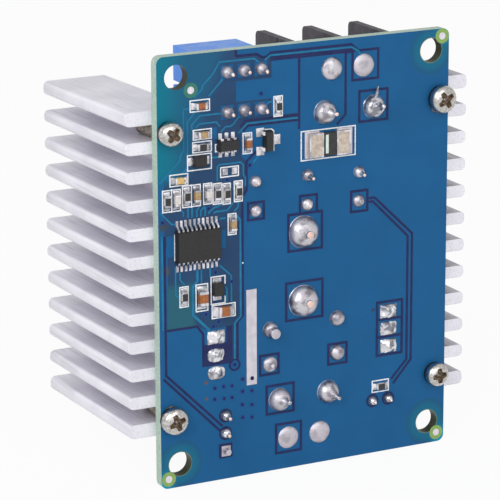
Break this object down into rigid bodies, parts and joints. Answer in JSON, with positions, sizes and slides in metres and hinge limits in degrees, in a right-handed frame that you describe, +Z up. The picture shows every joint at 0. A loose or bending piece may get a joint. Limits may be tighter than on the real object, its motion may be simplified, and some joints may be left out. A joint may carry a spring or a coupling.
{
  "type": "power supply module",
  "caption": "Step-down power converter module: blue circuit board upright between two finned aluminium heatsinks, with a toroid, screw terminals and trimmers on its far side.",
  "frame": {"origin": "centre of the four mounting holes, on the board's solder face", "axes": "+X across the board to the right seen from the solder side, +Z up its long side, +Y from the solder face towards the components and heatsinks"},
  "size_m": [0.0524, 0.0316, 0.06],
  "materials": {
    "board": "blue solder mask, glossy",
    "heatsink": "extruded, satin",
    "steel_screw": "nickel plated",
    "trimmer_blue": "smooth",
    "brass": "machined",
    "tinned": "tinned",
    "terminal_black": "moulded",
    "package_black": "moulded epoxy",
    "pad_grey": "silicone sheet",
    "bushing_white": "moulded",
    "core_yellow": "coated powder iron",
    "copper_wire": "enamelled copper",
    "sleeve_black": "shrink sleeve",
    "header_black": "moulded",
    "led_red": "tinted clear",
    "chip_black": "glazed",
    "chip_tan": "ceramic",
    "shunt_black": "coated",
    "solder": "bright solder"
  },
  "bodies": {
    "module": {"circuit_board": "board", "heatsink_left": "heatsink", "heatsink_right": "heatsink", "heatsink_screws": "steel_screw", "trimmer_upper_body": "trimmer_blue", "trimmer_upper_pins": "tinned", "trimmer_lower_body": "trimmer_blue", "trimmer_lower_pins": "tinned", "terminal_top_block": "terminal_black", "terminal_top_contacts": "tinned", "terminal_top_clamps": "steel_screw", "terminal_top_screws": "steel_screw", "terminal_bottom_block": "terminal_black", "terminal_bottom_contacts": "tinned", "terminal_bottom_clamps": "steel_screw", "terminal_bottom_screws": "steel_screw", "transistor_left_pad": "pad_grey", "transistor_left_leadframe": "tinned", "transistor_left_package": "package_black", "transistor_left_bushing": "bushing_white", "transistor_left_screw": "steel_screw", "transistor_right_pad": "pad_grey", "transistor_right_leadframe": "tinned", "transistor_right_package": "package_black", "transistor_right_bushing": "bushing_white", "transistor_right_screw": "steel_screw", "inductor_core": "core_yellow", "inductor_winding": "copper_wire", "capacitor_small_left": "sleeve_black", "capacitor_small_middle": "sleeve_black", "capacitor_small_right": "sleeve_black", "capacitor_large_left": "sleeve_black", "capacitor_large_right": "sleeve_black", "capacitor_leads": "tinned", "header_body": "header_black", "header_pins": "brass", "led_lens": "led_red", "led_leads": "tinned", "chip_resistors": "chip_black", "chip_capacitors": "chip_tan", "chip_ends": "tinned", "controller_body": "package_black", "controller_leads": "tinned", "driver_body": "package_black", "driver_leads": "tinned", "switch_body": "package_black", "switch_leads": "tinned", "diode_bodies": "package_black", "diode_tabs": "tinned", "shunt_element": "shunt_black", "shunt_terminals": "tinned", "solder_joints": "solder", "solder_pads": "solder"},
    "adjuster_upper": {"trimmer_upper_adjuster": "brass"},
    "adjuster_lower": {"trimmer_lower_adjuster": "brass"}
  },
  "joints": [
    {"name": "upper_adjuster_turn", "type": "hinge", "parent": "module", "child": "adjuster_upper", "pos_m": [-0.01269, 0.0108, 0.0264], "axis": [0, 1, 0], "continuous": true},
    {"name": "lower_adjuster_turn", "type": "hinge", "parent": "module", "child": "adjuster_lower", "pos_m": [-0.01269, 0.0108, 0.02095], "axis": [0, 1, 0], "continuous": true}
  ]
}
